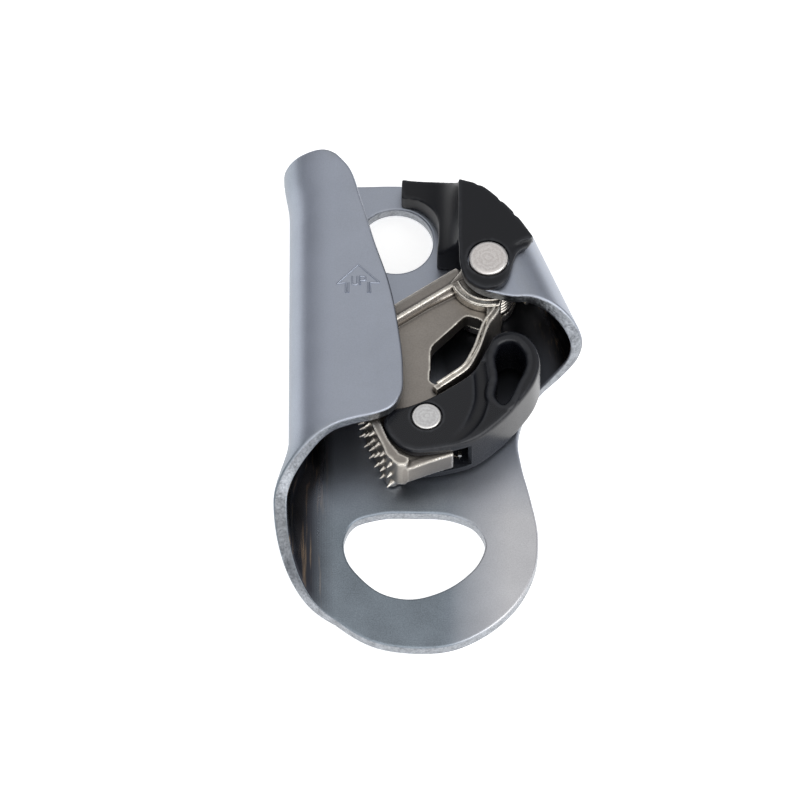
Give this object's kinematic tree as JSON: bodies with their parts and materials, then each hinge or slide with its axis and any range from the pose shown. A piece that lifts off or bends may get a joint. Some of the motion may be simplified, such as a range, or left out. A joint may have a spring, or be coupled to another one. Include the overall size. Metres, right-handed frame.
{
  "type": "belay device",
  "caption": "Rope clamp in bent sheet with a sprung toothed cam, a pull-to-open safety catch and two eyes for connectors.",
  "frame": {"origin": "on the back face of the plate, between its two eyes", "axes": "+Y up the rope, +Z out of the back plate towards the cam's rivet head, +X from the rope channel to the cam"},
  "size_m": [0.0566, 0.099, 0.019],
  "materials": {
    "satin_aluminium": "satin tumbled sheet, edges brighter",
    "grip_nylon": "fine moulded satin, black",
    "axle_steel": "spun rivet head, satin",
    "bush_steel": "turned, satin",
    "spring_steel": "drawn wire",
    "cast_steel": "cast and nickel plated, ridges polished",
    "catch_nylon": "satin to glossy moulded, black",
    "pin_steel": "spun rivet head, satin",
    "small_spring_steel": "drawn wire"
  },
  "bodies": {
    "frame": {"frame": "satin_aluminium", "grip_cover": "grip_nylon", "cam_axle": "axle_steel"},
    "carrier": {"cam_bush": "bush_steel"},
    "cam": {"cam": "cast_steel", "cam_spring": "spring_steel", "catch_pin": "pin_steel", "catch_spring": "small_spring_steel"},
    "catch": {"catch": "catch_nylon"}
  },
  "joints": [
    {"name": "cam_open", "type": "hinge", "parent": "frame", "child": "carrier", "pos_m": [0.0113, 0.024, 0.0085], "axis": [0, 0, 1], "range_deg": [0, 32], "stiffness_Nm_per_rad": 0.12},
    {"name": "cam_grip", "type": "hinge", "parent": "carrier", "child": "cam", "pos_m": [0.0113, 0.024, 0.0085], "axis": [0, 0, 1], "range_deg": [-16, 3], "stiffness_Nm_per_rad": 0.12, "springref_deg": -16.04},
    {"name": "catch_pull", "type": "hinge", "parent": "cam", "child": "catch", "pos_m": [-0.0001, -0.007, 0.0085], "axis": [0, 0, 1], "range_deg": [-41.6, 0], "stiffness_Nm_per_rad": 0.02}
  ],
  "couplings": [
    {"joint": "catch_pull", "follows": "cam_open", "ratio": -1.3}
  ]
}
